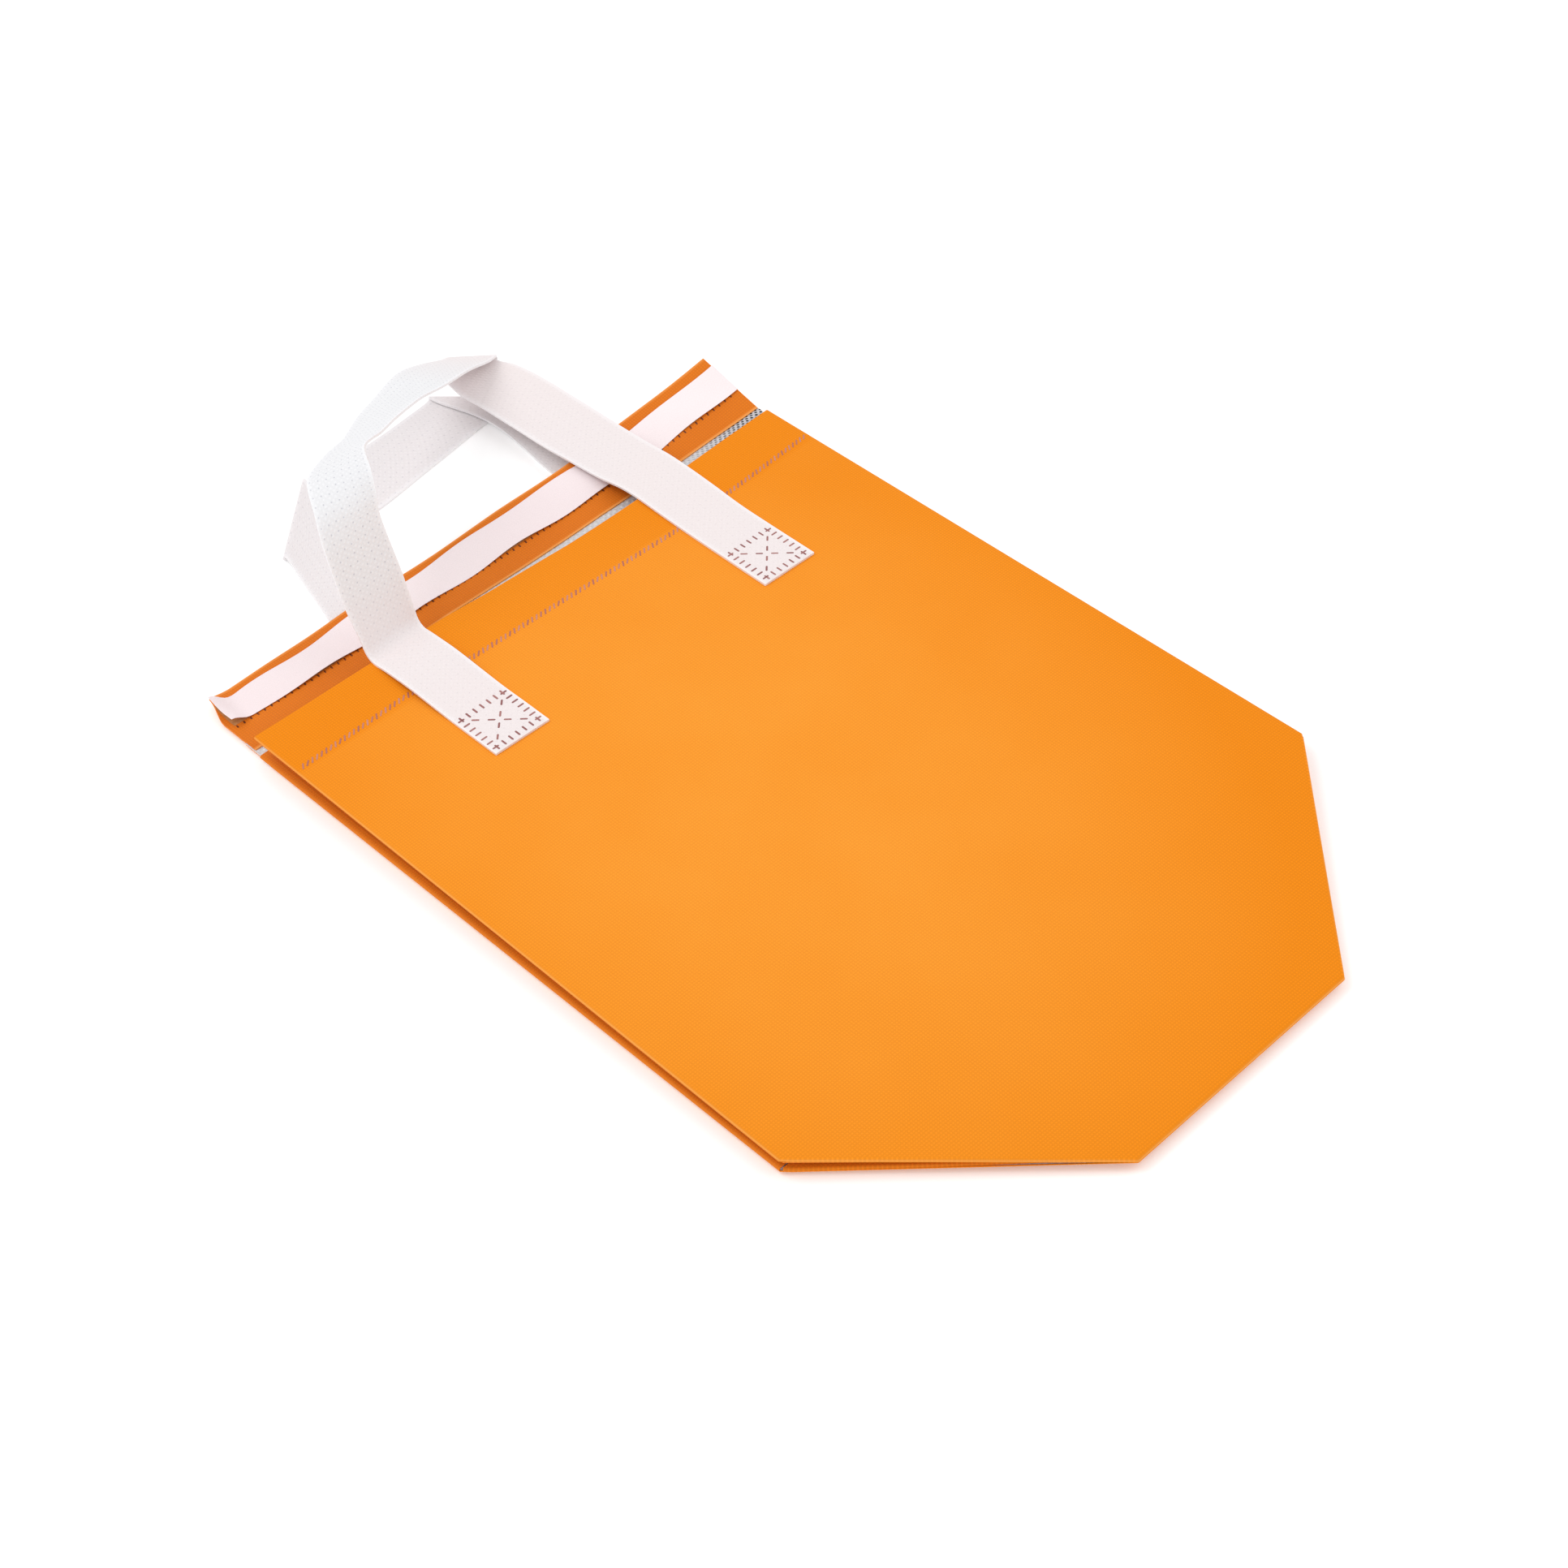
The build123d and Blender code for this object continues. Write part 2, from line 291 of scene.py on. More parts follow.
def ply(name, base, normal, span, uv, material, slot, wear=0.0, tone=0.0):
    """A closed thin sheet between two offsets of a grid of points."""
    rows, cols = base.shape[:2]
    index, quads = grid_faces(rows, cols)
    low, high = (np.asarray(s, float)[..., None] if np.ndim(s) else s for s in span)
    points = np.concatenate([(base + normal * high).reshape(-1, 3),
                             (base + normal * low).reshape(-1, 3)])
    under = rows * cols
    edge = np.concatenate([index[0, :-1], index[:-1, -1], index[-1, :0:-1],
                           index[:0:-1, 0]]).tolist()
    sides = [[a, b, b + under, a + under] for a, b in zip(edge, edge[1:] + edge[:1])]
    faces = quads + [[i + under for i in reversed(q)] for q in quads] + sides
    spread = [np.tile(np.broadcast_to(v, (rows, cols)).ravel(), 2) for v in (wear, tone)]
    return build(name, points, faces, np.tile(uv.reshape(-1, 2), (2, 1)), material,
                 slot, *spread, rim=len(sides))


def surface_normal(base):
    return unit(np.cross(np.gradient(base, axis=1), np.gradient(base, axis=0)))


def turned(first, second, turns):
    """Directions that turn from one unit vector field to another."""
    return [first * math.cos(t) + second * math.sin(t) for t in turns]


QUARTER = [math.radians(a) for a in (30, 60, 90)]

# ---------------------------------------------------------------- front and back
MOUTH_X = [-163.8, -103, -53.7, -27, 24, 46, 106, 132, 165.4]
MOUTH_Y = [174.0, 173.3, 172.8, 171.1, 169.7, 170.0, 171.4, 172.8, 174.1]


def ripple(x, y):
    """The front's slight unevenness."""
    return (0.32 * np.sin(x / 37 + y / 61) + 0.22 * np.sin(y / 29 - x / 83)
            + 0.12 * np.sin(x / 17 + 2.0) * np.sin(y / 21))


def front_top(x, y):
    """Height of the front's outer surface."""
    across = (x + HALF) / (2 * HALF)
    up_wall = (y - WALL_START) / WALL_REACH
    up_base = (y - BASE_END) / BASE_REACH
    wall = mix(mix(*WALL_LEFT, up_wall), mix(*WALL_RIGHT, up_wall), across)
    base = mix(mix(*BASE_LEFT, up_base), mix(*BASE_RIGHT, up_base), across)
    edge = np.clip((HALF - np.abs(x)) / 40, 0, 1)
    uneven = ripple(x, y) * edge * smooth((y - BASE_END) / 60)
    return np.where(y > WALL_START, wall, base) + uneven


def lift(x, y):
    """How far the back's right side is raised towards the mouth."""
    rise = 9.0 * smooth((y + 50) / 225) + 2.3 * smooth((y - 172) / 7)
    return rise * (np.clip(x, 0, None) / HALF) ** 2


def back_in(x, y):
    """Height of the back lining's inner surface."""
    return THICK + lift(x, y) + 2.6 * np.clip((CREASE_Y - y) / BASE_REACH, 0, 1)


def half_width(y):
    """Half of the folded bag's width, which narrows along the base."""
    return np.where(y > CREASE_Y, HALF, HALF - (CREASE_Y - y) * BASE_INSET / BASE_REACH)


def hexagon(rows, cols, low, high, wavy_mouth):
    """A grid over the folded bag's outline, from one Y to another."""
    if low > CREASE_Y:
        y_line = np.linspace(low, high, rows)
    else:
        y_line = np.concatenate([np.linspace(low, CREASE_Y, 34)[:-1],
                                 np.linspace(CREASE_Y, high, rows)])
    s = np.linspace(-1, 1, cols)
    y = np.repeat(y_line[:, None], cols, 1)
    x = s[None, :] * half_width(y)
    if wavy_mouth:
        y = y + (np.interp(x, MOUTH_X, MOUTH_Y) - high) * smooth((y - 110) / (high - 110))
    return x, y


def wrapped(x, y, z, up, lip=None, ridge=True):
    """The wall's grid with quarter-round turns on its sides and ridge."""
    base = np.stack([x, y, z], -1)
    normal = np.zeros_like(base)
    normal[..., 2] = up
    slanted = (y[:, :1] < CREASE_Y)[..., None]
    for side in (-1, 1):
        edge = base[:, :1] if side < 0 else base[:, -1:]
        out = unit(np.where(slanted, np.array([side, -1.0, 0]),
                            np.array([side, 0.0, 0])))
        first = np.zeros_like(edge)
        first[..., 2] = up
        turns = turned(first, out, QUARTER)
        strips = [edge] * len(turns)
        if lip is not None and side > 0:
            strips, turns = strips + [edge - lip], turns + [turns[-1]]
        order = slice(None, None, side)
        extra, lean = np.concatenate(strips[order], 1), np.concatenate(turns[order], 1)
        parts = ((extra, base), (lean, normal))
        if side > 0:
            parts = ((base, extra), (normal, lean))
        base, normal = (np.concatenate(p, 1) for p in parts)
    if ridge:
        rows, lean = [base[:1]] * 3, turned(normal[:1], np.array([0, -1.0, 0]), QUARTER)
        base = np.concatenate([*rows[::-1], base], 0)
        normal = unit(np.concatenate([*lean[::-1], normal], 0))
    return base, normal


def flat_uv(base):
    return base[..., :2].copy()


def panel_tone(base):
    """Painted shade: deeper colour away from the middle and towards the lower right,
    where the light falls off.
    """
    x, y = base[..., 0], base[..., 1]
    away = np.clip(np.hypot((x + 20) / 190, (y + 20) / 260), 0, 1) ** 2.2
    return np.clip(0.75 * away + 0.25 * smooth((x - y) / 420), 0, 1)


def edge_wear(normal, up):
    """Painted highlight: paler cloth where a panel turns over its edge and its surface
    tilts from facing straight up.
    """
    return 0.55 * smooth(1.4 * (1 - normal[..., 2] * up)) * (normal[..., 2] * up > 0.2)


def lip_drop(base_z, y):
    """How far the right edge's lip hangs down, one step for each row."""
    drop = np.zeros((len(y), 1, 3))
    drop[:, 0, 2] = np.clip(base_z[:, -1] - 9.2, 0, None)
    return drop


x, y = hexagon(118, 111, BASE_END, 174, True)
z = front_top(x, y) - THICK
base, normal = wrapped(x, y, z, 1, lip=lip_drop(z, y))
hem_tone = smooth((base[..., 1] - 139) / 3) * 0.5
# Painted shade: deeper orange towards the edges and lower right, on top of the deeper hem
# above the weld row; painted highlights on the turned edges.
front_cloth = ply("front_cloth", base, normal, OUTER, flat_uv(base), ORANGE,
                  "orange_non_woven", wear=edge_wear(normal, 1),
                  tone=np.clip(panel_tone(base) + hem_tone, 0, 1))
x, y = hexagon(100, 61, -275.8, 143.5, False)
base, normal = wrapped(x * LINING_SHARE, y, front_top(x, y) - THICK, 1)
front_lining = ply("front_lining", base, normal, LINING, flat_uv(base), SILVER,
                   "silver_lining", tone=0.3)
x, y = hexagon(14, 111, 144, 173.6, True)
base, normal = wrapped(x * LINING_SHARE, y, front_top(x, y) - THICK, 1, ridge=False)
front_hem = ply("front_hem_cloth", base, normal, LINING, flat_uv(base), ORANGE,
                "orange_non_woven", tone=0.6)

BACK_TOP = 165.0            # the back panel's end, where the mouth strips carry on
x, y = hexagon(118, 81, BASE_END, BACK_TOP, False)
base, normal = wrapped(x, y, back_in(x, y), -1)
# Painted shade: deeper orange towards the edges and lower right; painted highlights on
# the turned edges.
back_cloth = ply("back_cloth", base, normal, OUTER, flat_uv(base), ORANGE,
                 "orange_non_woven", wear=edge_wear(normal, -1), tone=panel_tone(base))
x, y = hexagon(100, 81, -275.8, BACK_TOP, False)
base, normal = wrapped(x * LINING_SHARE, y, back_in(x, y), -1)
back_lining = ply("back_lining", base, normal, LINING, flat_uv(base), SILVER,
                  "silver_lining", tone=0.3)

# ---------------------------------------------------------------- mouth strips and flap
# Across X: how far the flap's tip reaches, its height there, and where its facing starts.
TIP_X = [-164.5, -150, -76, -41, 11, 74, 108, 165]
TIP_Y = [219.8, 222.0, 224.7, 225.0, 225.4, 225.4, 225.8, 220.6]
TIP_Z = [1.9, 1.7, 2.2, 2.4, 4.0, 7.5, 11.0, 25.0]
START_X = [-157, -43, 3, 58, 130, 165]
START_Y = [178.4, 184.8, 184.8, 185.0, 182.6, 180.4]


def flap_start(x):
    """Y where the flap's facing starts."""
    return np.interp(x, START_X, START_Y)


def flap_top(x, y):
    """Height of the flap's facing."""
    start = 1.9 + lift(x, y * 0 + 180.0)
    along = (y - flap_start(x)) / (np.interp(x, TIP_X, TIP_Y) - flap_start(x))
    curl = 5.0 * smooth((-148 - x) / 17) * smooth((y - 203) / 20)
    wave = 0.5 * np.sin(x / 13) * smooth(along) * smooth((x + 150) / 60)
    rise = mix(smooth(along), np.clip(along, 0, 1), smooth((x - 40) / 110))
    return mix(start, np.interp(x, TIP_X, TIP_Z), rise) + curl + wave


def flap_grid(low, high, rows, cols):
    """Rows from the fold to the tip, as shares of the flap's reach."""
    s = np.linspace(-1, 1, cols)[None, :] * FLAP_HALF
    v = np.linspace(low, high, rows)[:, None]
    x = np.repeat(s, rows, 0)
    y = mix(flap_start(x), np.interp(x, TIP_X, TIP_Y), v)
    x = x + 4.0 * smooth((-150 - x) / 15) * smooth((v - 0.6) / 0.4)
    return x, y


def strip_grid(low, high, rows, cols):
    """A grid across the bag's whole width, from one Y to another."""
    x = np.repeat(np.linspace(-HALF, HALF, cols)[None, :], rows, 0)
    y = np.repeat(np.linspace(low, high, rows)[:, None], cols, 1)
    return x, y


DOWN = np.array([0, 0, -1.0])
x, y = strip_grid(BACK_TOP + 0.05, 186.0, 15, 111)
base = np.stack([x, y, THICK + lift(x, y)], -1)
normal = np.broadcast_to(DOWN, base.shape)
mouth_outer = ply("mouth_strip_outer", base, normal, OUTER, flat_uv(base), ORANGE,
                  "orange_non_woven", tone=0.5)
mouth_silver = ply("mouth_strip_silver", base, normal, LINING, flat_uv(base),
                   MOUTH_FILM, "silver_lining",
                   tone=0.9 * smooth((x - 105) / 50) + 0.12 * smooth((x + 20) / 60))


def layer(name, low, high, rows, cols, span, material, slot_name, **looks):
    """One ply of the flap."""
    x, y = flap_grid(low, high, rows, cols)
    base = np.stack([x, y, flap_top(x, y) - FACING_DROP], -1)
    normal = surface_normal(base)
    normal = normal * np.sign(normal[..., 2:3])
    return ply(name, base, normal, span, flat_uv(base), material, slot_name, **looks)


# Painted highlights on the facing's first and last rows, at its fold and its cut edge.
facing_wear = np.zeros((26, 1))
facing_wear[:1] = 0.8
facing_wear[-1:] = 0.5
flap_facing = layer("flap_facing_cloth", 0.0, 1.0, 26, 121, (0.0, 0.7), FACING,
                    "orange_non_woven", wear=facing_wear, tone=0.2)
flap_outer = layer("flap_outer_cloth", 0.01, 0.998, 26, 121, (-0.5, -0.03), ORANGE,
                   "orange_non_woven", tone=0.4)

# The liner's near and far edges, as X and Y.
LINER_LOW = ([-168, -87, -48, 72, 109, 165],
             [197.6, 197.3, 198.6, 197.7, 196.5, 194.6])
LINER_HIGH = ([-168, -155, -80, -42, 68, 109, 165],
              [216.5, 214.8, 218.4, 220.6, 219.7, 218, 214.2])


def band(name, low_line, high_line, inset, raise_by, thick, material, slot_name, wave):
    """A band on the flap between two lines of the flap's length."""
    count = 161
    x = np.linspace(-163 + inset, 164.4 - inset, count)[None, :]
    low = np.interp(x, *low_line) + wave * (0.6 * np.sin(x / 9.0)
                                            + 0.5 * np.sin(x / 21 + 1))
    high = np.interp(x, *high_line) + wave * (0.8 * np.sin(x / 11.0 + 2)
                                              + 0.5 * np.sin(x / 27))
    v = np.linspace(0, 1, 9)[:, None]
    y = mix(low + inset, high - inset, v)
    x = np.repeat(x, 9, 0)
    puff = wave * (0.55 + 0.35 * np.sin(x / 10 + 3 * v) + 0.3 * np.sin(x / 23))
    curl = wave * 5.0 * smooth((-150 - x) / 13) ** 1.5
    base = np.stack([x, y, flap_top(x, y) + raise_by + puff + curl], -1)
    normal = surface_normal(base)
    normal = normal * np.sign(normal[..., 2:3])
    return ply(name, base, normal, (0.0, thick), flat_uv(base), material, slot_name,
               tone=0.3 + 0.3 * np.sin(x / 31))


adhesive = band("adhesive_band", LINER_LOW, LINER_HIGH, 1.2, 0.03, 0.08, TACK,
                "adhesive", 0)
liner = band("release_liner_paper", LINER_LOW, LINER_HIGH, 0.0, 0.25, 0.16, PAPER,
             "liner_paper", 1)


# ---------------------------------------------------------------- gussets and webs
def fold_half(name, side, half, y_line, cols, seam=False):
    """A gusset or web half's two plies, from its outer edge to the centre crease."""
    up = 1 if half == "back" else -1
    y = np.repeat(y_line[:, None], cols, 1)
    reach = np.clip((CREASE_Y - y_line) / 100, 0, 0.995)[:, None] if seam else 0.0
    u = mix(reach + 0.0 * y, 1.0, np.linspace(0, 1, cols)[None, :])
    x_line = side * mix(HALF, CENTRE_X, u)
    edge_x = side * half_width(y[:, :1])
    low, high = back_in(edge_x, y[:, :1]), front_top(edge_x, y[:, :1]) - THICK
    room = np.clip((high - low) / 2.6, 0.2, 1.0)
    centre = mix(5.2, (low + high) / 2, smooth((CREASE_Y - y[:, :1]) / 20))
    start = low if up > 0 else high
    share = (u - u[:, :1]) / np.maximum(1 - u[:, :1], 1e-6)
    z = mix(start, centre - up * THICK * room, share)
    base = np.stack([x_line, y, z], -1)
    normal = np.zeros_like(base)
    normal[..., 2] = up
    normal = normal * room[..., None]
    room = room[..., None]
    out = unit(np.array([side, -1.0, 0.0])) if seam else np.array([side, 0.0, 0.0])
    wraps = turned(normal[:, :1], out * room, QUARTER)
    hinge = base[:, -1:] + normal[:, -1:] * THICK
    dirs = turned(-normal[:, -1:], np.array([-side, 0.0, 0.0]) * room, QUARTER)
    base = np.concatenate([*[base[:, :1]] * 3, base,
                           *[hinge + d * THICK for d in dirs]], 1)
    normal = np.concatenate([*wraps[::-1], normal, *[-d for d in dirs]], 1)
    # Painted shade: the gusset darkens inward from its outer edge, for the shade inside
    # the folded-in recess.
    shade = smooth((np.where(base[..., 1] > CREASE_Y, HALF, half_width(base[..., 1]))
                    - np.abs(base[..., 0]) - 0.5) / 9)
    pieces = []
    for kind, span, material, slot_name in (
            ("outer", OUTER, GUSSET_SHADED, "orange_non_woven"),
            ("lining", LINING, SILVER, "silver_lining")):
        piece = ply(f"{name}_{kind}_cloth", base, normal, span, flat_uv(base), material,
                    slot_name, tone=shade if kind == "outer" else 0.3)
        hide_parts(f"{name}_{kind}")
        pieces.append(piece)
    return pieces


gusset_rows = np.linspace(-174.6, 173.0, 80)
web_rows = np.linspace(-274.5, -175.4, 30)
folds = {}
for side_name, side in (("left", -1), ("right", 1)):
    for half in ("back", "front"):
        key = f"{side_name}_gusset_{half}"
        folds[key] = fold_half(key, side, half, gusset_rows, 26)
        key = f"{side_name}_web_{half}"
        folds[key] = fold_half(key, side, half, web_rows, 16, seam=True)


# ---------------------------------------------------------------- handle straps
def curve_through(points, counts):
    """Points along a smooth line through stations, a count to each run."""
    points = np.asarray(points, float)
    padded = np.concatenate([2 * points[:1] - points[1:2], points,
                             2 * points[-1:] - points[-2:-1]])
    out = []
    for i, count in enumerate(counts):
        p0, p1, p2, p3 = padded[i:i + 4]
        k0, k1, k2 = (max(np.linalg.norm(b - a), 1e-6) ** 0.5
                      for a, b in ((p0, p1), (p1, p2), (p2, p3)))
        m1 = k1 * ((p1 - p0) / k0 - (p2 - p0) / (k0 + k1) + (p2 - p1) / k1)
        m2 = k1 * ((p2 - p1) / k1 - (p3 - p1) / (k1 + k2) + (p3 - p2) / k2)
        t = np.linspace(0, 1, count, endpoint=False)[:, None]
        out.append((2 * t**3 - 3 * t**2 + 1) * p1 + (t**3 - 2 * t**2 + t) * m1
                   + (-2 * t**3 + 3 * t**2) * p2 + (t**3 - t**2) * m2)
    return np.concatenate([*out, points[-1:]])


def strap(name, stations, step, slot_name, cols=13):
    """A strap of one width along rulings from its inner to its outer edge."""
    inner, outer = (np.array([s[k] for s in stations], float) for k in (0, 1))
    runs = np.maximum(np.linalg.norm(np.diff(inner, axis=0), axis=1),
                      np.linalg.norm(np.diff(outer, axis=0), axis=1))
    counts = np.maximum(2, np.ceil(runs / step)).astype(int)
    inner, outer = curve_through(inner, counts), curve_through(outer, counts)
    t = np.linspace(0, 1, cols)[None, :, None]
    base = inner[:, None] * (1 - t) + outer[:, None] * t
    normal = surface_normal(base)
    middle = base[:, cols // 2]
    steps = np.linalg.norm(np.diff(middle, axis=0), axis=1)
    along = np.concatenate([[0], np.cumsum(steps)])
    uv = np.stack([np.repeat(t[..., 0] * STRAP_WIDTH, len(along), 0),
                   np.repeat(along[:, None], cols, 1)], -1)
    # Painted reflection: a pink, greyer tint for light bounced off the orange, strongest
    # near the front's height and fading up the loop.
    near = np.clip(1 - np.abs(base[..., 2] - 14) / 30, 0, 1) * 0.6
    # Painted highlights along the strap's two edges.
    rim = np.abs(t[..., 0] - 0.5) > 0.49
    return ply(name, base, normal, (-0.6, 0.6), uv, STRAP_CLOTH, slot_name,
               tone=near, wear=0.4 * rim), float(along[-1])


def on_front(x, y, rise=0.65):
    """A strap's point at a height above the front."""
    return (x, y, float(front_top(np.array(x), np.array(y))) + rise)


def halfway(inner, outer, push, lower):
    """The rulings of a turned-over fold, pushed out of its line."""
    inner, outer = np.array(inner, float), np.array(outer, float)
    push = np.array(push, float)
    rulings = []
    for angle in (-60, -30, 0, 30, 60):
        out = push * math.cos(math.radians(angle))
        down = np.array([0, 0, lower / 2 * math.sin(math.radians(angle))])
        rulings.append((inner + out - down, outer + out - down))
    return rulings


# Each station is a ruling across a strap, its inner and then its outer end.
front_stations = [
    (on_front(-64.5, 81.7), on_front(-96.1, 82.7)),
    (on_front(-64.5, 100), on_front(-96.2, 101)),
    (on_front(-64.6, 114), on_front(-96.3, 114)),
    (on_front(-64.8, 128, 1.6), on_front(-96.6, 126, 1.4)),
    (on_front(-65.0, 148, 2.8), on_front(-97.0, 146, 2.4)),
    (on_front(-64.8, 166, 1.6), on_front(-97.1, 164, 1.4)),
    ((-64.4, 174.0, 15.0), (-97.1, 171.5, 15.0)),
    ((-64.2, 178.0, 17.5), (-97.1, 175.5, 17.2)),
    ((-63.4, 181.5, 25.0), (-96.4, 180.0, 23.0)),
    ((-61.1, 190, 41), (-95, 190, 37)),
    ((-57.2, 205.4, 65), (-90.1, 206.8, 62)),
    ((-54.0, 210, 72), (-84.5, 218.0, 72)),
    ((-49.5, 217.5, 79.5), (-74.5, 236.0, 75.5)),
    ((-43.5, 229, 83), (-58.0, 251.5, 68.5)),
    ((-36, 234, 81), (-42.3, 261.4, 63.7)),
    ((-28.4, 237.7, 78), (-33.3, 265.7, 61.3)),
    ((-12, 248, 72), (-20.2, 276.2, 56.9)),
    ((0.6, 256.6, 66), (-10.4, 284.8, 52.8)),
    ((19, 268.6, 57), (8.0, 297.5, 46.5)),
    ((42.1, 282.5, 44), (36.5, 314.0, 39.5)),
    ((70, 297.5, 31.5), (58.0, 322.0, 29.5)),
    ((90, 307, 21.5), (72.0, 325.5, 22.5)),
    *halfway((97.5, 310.5, 16.8), (77.0, 327.0, 18.4), (1.2, 1.6, 0), 3.6),
    ((102.2, 303.5, 14.3), (70.5, 325.0, 15.4)),
    ((105.0, 292, 13.3), (67.4, 309, 12.6)),
    ((106, 276, 13.0), (68.6, 288, 11.6)),
    ((106, 260, 13.0), (69.4, 264, 10.8)),
    ((106, 240, 13.0), (70.0, 240, 10.2)),
    ((106, 222, 12.8), (71.0, 222, 10.2)),
    ((105.8, 200, 13.4), (71.8, 200, 10.8)),
    ((105.4, 184, 14.7), (72.0, 184, 13.2)),
    (on_front(105.0, 172, 0.9), on_front(71.2, 172, 0.9)),
    (on_front(104.0, 150, 0.8), on_front(70.4, 150, 0.8)),
    (on_front(102.6, 128), on_front(69.8, 128)),
    (on_front(102.2, 108), on_front(69.4, 108)),
    (on_front(101.9, 75.2), on_front(68.9, 75.5)),
]
front_strap, front_length = strap("front_strap", front_stations, 3.0, "strap_non_woven")


def low_pair(inner, outer, z=-0.6):
    """A ruling of the back strap, under the back panel or level with it."""
    return ((*inner, z), (*outer, z))


back_stations = [
    low_pair((-66, 78), (-99, 78)),
    low_pair((-66, 115), (-99, 115)),
    low_pair((-66, 177), (-99, 177)),
    low_pair((-51, 236), (-83, 230)),
    low_pair((-38, 280), (-74, 264), 0.5),
    low_pair((-26, 319), (-70.5, 277), 1.2),
    *halfway((-24.2, 323, 0.6), (-69.6, 279.8, 0.6), (-1.2, 1.2, 0), 2.0),
    low_pair((-20, 322.8), (-62, 278.6), -0.55),
    low_pair((-4, 322.6), (-20, 276.6)),
    low_pair((24, 324), (28, 283.8)),
    low_pair((50, 327), (71.6, 291.0)),
    low_pair((58, 328), (90, 292.2), -0.5),
    *halfway((62, 328.5, 0.7), (95, 291.5, 0.7), (1.2, 1.2, 0), -2.2),
    low_pair((62.8, 325), (95.5, 287.0), 1.3),
    low_pair((69.5, 300), (98, 279), 1.2),
    low_pair((71.6, 283), (99.5, 266), 0.8),
    low_pair((70.4, 263), (99.8, 250), -0.3),
    low_pair((66.4, 232), (99.4, 230)),
    low_pair((66, 177), (99, 177)),
    low_pair((66, 115), (99, 115)),
    low_pair((66, 78), (99, 78)),
]
back_strap, back_length = strap("back_strap", back_stations, 3.0, "strap_non_woven")


# ---------------------------------------------------------------- weld marks
def dashes(name, places, material, length, width, depth, height_of, up=1):
    """Small raised rounded marks at (x, y, turn) on a surface."""
    ring = [(length / 2 - width / 2 + width / 2 * math.cos(a), width / 2 * math.sin(a))
            for a in np.radians([-90, -45, 0, 45, 90])]
    ring += [(-px, -py) for px, py in ring]
    points, faces, uv, sides = [], [], [], []
    count = len(ring)
    for px, py, turn in places:
        c, s = math.cos(math.radians(turn)), math.sin(math.radians(turn))
        flat = [(px + a * c - b * s, py + a * s + b * c) for a, b in ring]
        start = len(points)
        for rise, grow in ((-0.15, 1.0), (depth * 0.6, 1.0), (depth, 0.8)):
            for qx, qy in flat:
                gx, gy = px + (qx - px) * grow, py + (qy - py) * grow
                points.append((gx, gy, height_of(gx, gy) + up * rise))
                uv.append((gx, gy))
        for tier in (0, 1):
            for i in range(count):
                j = (i + 1) % count
                low = start + tier * count
                faces.append([low + i, low + j, low + count + j, low + count + i])
        faces.append([start + 2 * count + i for i in range(count)])
        faces.append([start + i for i in reversed(range(count))])
    return build(name, points, faces, uv, material, "weld_marks",
                 tone=0.5 + 0.5 * np.sin(np.arange(len(points)) // (3 * count) * 1.7))


def patch_places(center_x, center_y, size=29.0, count=7):
    """Where a strap's weld has its marks: a square and its diagonals."""
    places, edge = [], size / 2 - 1.6
    for step in range(count):
        run = (step + 0.5) * size / count - size / 2
        places += [(run, -edge, 90), (run, edge, 90), (-edge, run, 0), (edge, run, 0)]
    for step in range(4):
        run = (size / 2 - 6.5) * (2 * step / 3 - 1)
        places += [(run, run, 45), (run, -run, -45)]
    return [(center_x + a, center_y + b, t) for a, b, t in places]


def strap_top(x, y):
    """Height of the front strap's upper face on its welded ends."""
    return float(front_top(np.array(x), np.array(y))) + 1.25


front_marks = dashes("front_strap_welds",
                     patch_places(-80.4, 98.5) + patch_places(85.6, 91.5),
                     MAUVE, *WELD_DASH, strap_top)
back_marks = dashes("back_strap_welds",
                    patch_places(-82.5, 94.5) + patch_places(82.5, 94.5),
                    MAUVE, *WELD_DASH, lambda px, py: -THICK, up=-1)
HEM_X = [-163, -101, -60, 66, 105, 163]
HEM_Y = [141.8, 143.6, 141.2, 138.3, 140.4, 144.0]
hem_places = [(px, float(np.interp(px, HEM_X, HEM_Y)), 50 + 7 * math.sin(px))
              for px in np.arange(-162, 163, 2.75)]
hem_marks = dashes("hem_weld_marks", hem_places, PINK, 4.0, 0.85, 0.1,
                   lambda px, py: float(front_top(np.array(px), np.array(py))))
flap_places = [(px, float(np.interp(px, *LINER_LOW)) - 0.1, 80 + 8 * math.sin(px))
               for px in np.arange(-161, 162, 4.0)]
flap_marks = dashes("flap_weld_marks", flap_places, BROWN, 2.0, 0.9, 0.1,
                    lambda px, py: float(flap_top(np.array(px), np.array(py))))


for piece in (front_cloth, front_lining):
    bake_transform(piece)
for piece in (back_cloth, back_lining):
    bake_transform(piece)
for piece in (mouth_outer, mouth_silver):
    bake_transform(piece)
for piece in (flap_facing, flap_outer):
    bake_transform(piece)
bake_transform(front_strap)
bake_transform(back_strap)
for piece in (adhesive, flap_marks):
    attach(piece, "flap")
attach(liner, "release_liner")
for piece in (front_hem, front_marks, hem_marks):
    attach(piece, "front_wall")
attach(back_marks, "back_wall")
for key, pieces in folds.items():
    for piece in pieces:
        if key == "left_gusset_front":
            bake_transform(piece)
        else:
            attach(piece, key)

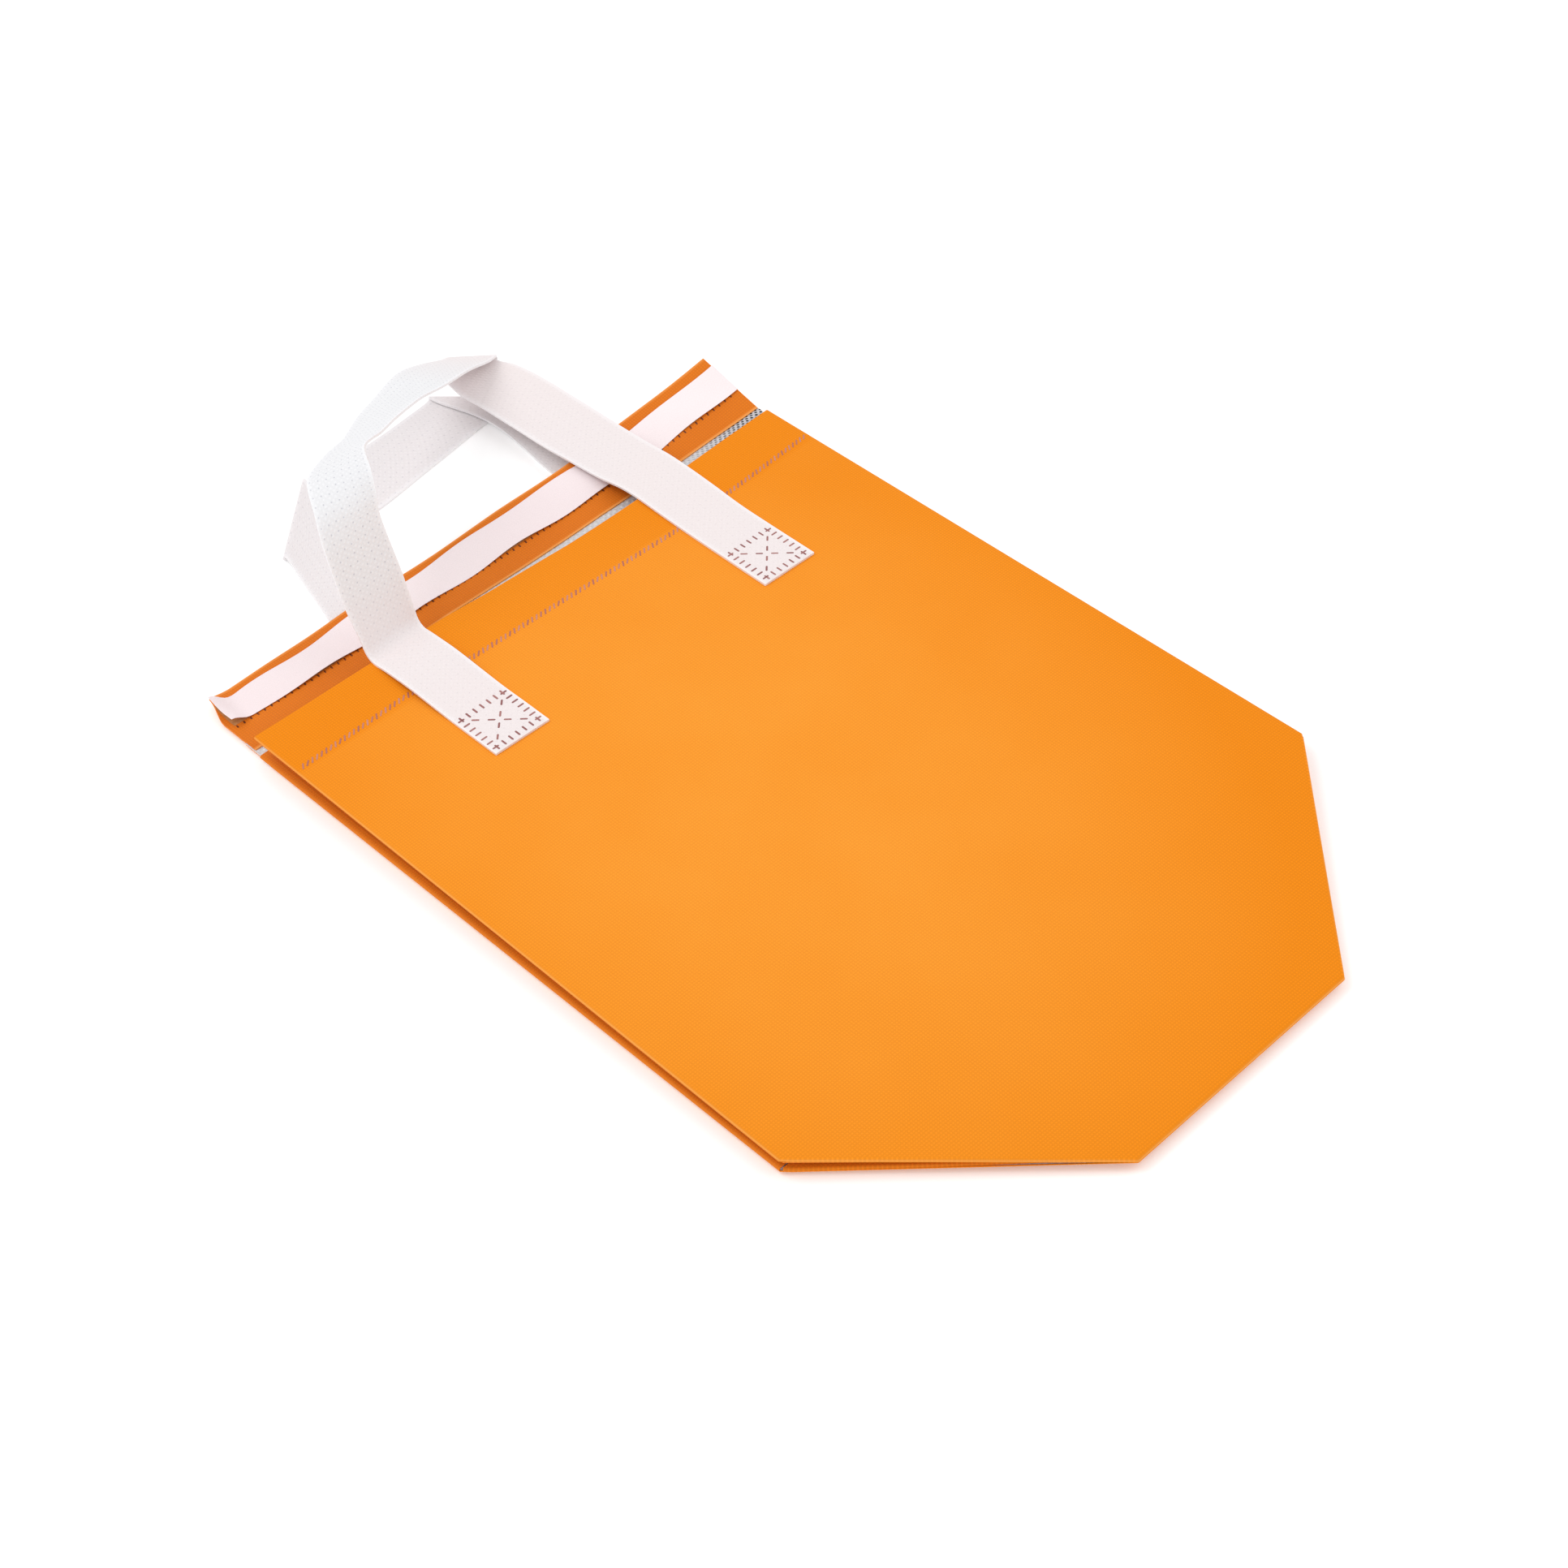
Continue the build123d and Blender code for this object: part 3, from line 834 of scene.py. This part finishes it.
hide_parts("front_panel_outer", "front_base_outer")
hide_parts("front_panel_lining", "front_base_lining")
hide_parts("front_hem")
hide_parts("back_panel_outer", "back_base_outer")
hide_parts("back_panel_lining", "back_base_lining")
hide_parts("fold_strip_outer")
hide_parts("fold_strip_lining")
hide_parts("flap_facing")
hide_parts("flap_outer")
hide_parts("flap_adhesive")
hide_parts("release_liner")
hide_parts("front_handle_ends", "front_handle_loop")
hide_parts("back_handle_ends", "back_handle_loop")
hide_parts("front_handle_welds")
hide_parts("back_handle_welds")
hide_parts("front_hem_weld")
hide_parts("flap_hem_weld")

# ---------------------------------------------------------------- stage
FLOOR_Z, FLOOR_REACH = -0.00125, 4      # in metres
floor_mesh = bpy.data.meshes.new("floor")
floor_mesh.from_pydata([(px, py, FLOOR_Z) for px, py in (
    (-FLOOR_REACH, -FLOOR_REACH), (FLOOR_REACH, -FLOOR_REACH),
    (FLOOR_REACH, FLOOR_REACH), (-FLOOR_REACH, FLOOR_REACH))], [], [(0, 1, 2, 3)])
floor = bpy.data.objects.new("floor", floor_mesh)
bpy.context.scene.collection.objects.link(floor)
floor_paint = bpy.data.materials.new("floor_paint")
floor_paint.use_nodes = True
floor_shader = floor_paint.node_tree.nodes["Principled BSDF"]
floor_shader.inputs["Base Color"].default_value = (0.93, 0.93, 0.93, 1)
floor_shader.inputs["Roughness"].default_value = 0.9
floor_shader.inputs["Emission Color"].default_value = (1, 1, 1, 1)
floor_shader.inputs["Emission Strength"].default_value = 0.16
floor_mesh.materials.append(floor_paint)

world = bpy.data.worlds.new("studio")
world.use_nodes = True
world.node_tree.nodes["Background"].inputs[0].default_value = (1, 1, 1, 1)
world.node_tree.nodes["Background"].inputs[1].default_value = 0.85
bpy.context.scene.world = world
bpy.context.scene.view_settings.view_transform = "Standard"


def area_light(name, place, target, size, power):
    """A square soft light at a place, turned to a target. Metres and watts."""
    light = bpy.data.lights.new(name, "AREA")
    light.size, light.energy = size, power
    lamp = bpy.data.objects.new(name, light)
    bpy.context.scene.collection.objects.link(lamp)
    lamp.location = place
    aim = Vector(target) - Vector(place)
    lamp.rotation_euler = aim.to_track_quat("-Z", "Y").to_euler()


area_light("key", (-0.9, 1.1, 1.9), (0, 0, 0), 1.4, 15)
area_light("fill", (1.2, -1.0, 1.6), (0, 0, 0), 1.8, 8)

# The camera is fitted to the photograph's outline of the front and the base.
camera_data = bpy.data.cameras.new("camera")
camera_data.lens, camera_data.sensor_width = 64.451, 36.0
camera = bpy.data.objects.new("camera", camera_data)
camera.matrix_world = Matrix((
    (0.7147565452, 0.5193664156, -0.4683819034, -0.6113),
    (-0.6975429175, 0.4809788991, -0.5311244442, -0.6991),
    (-0.0505663857, 0.7063411522, 0.7060631823, 0.9051),
    (0, 0, 0, 1)))
bpy.context.scene.collection.objects.link(camera)
bpy.context.scene.camera = camera
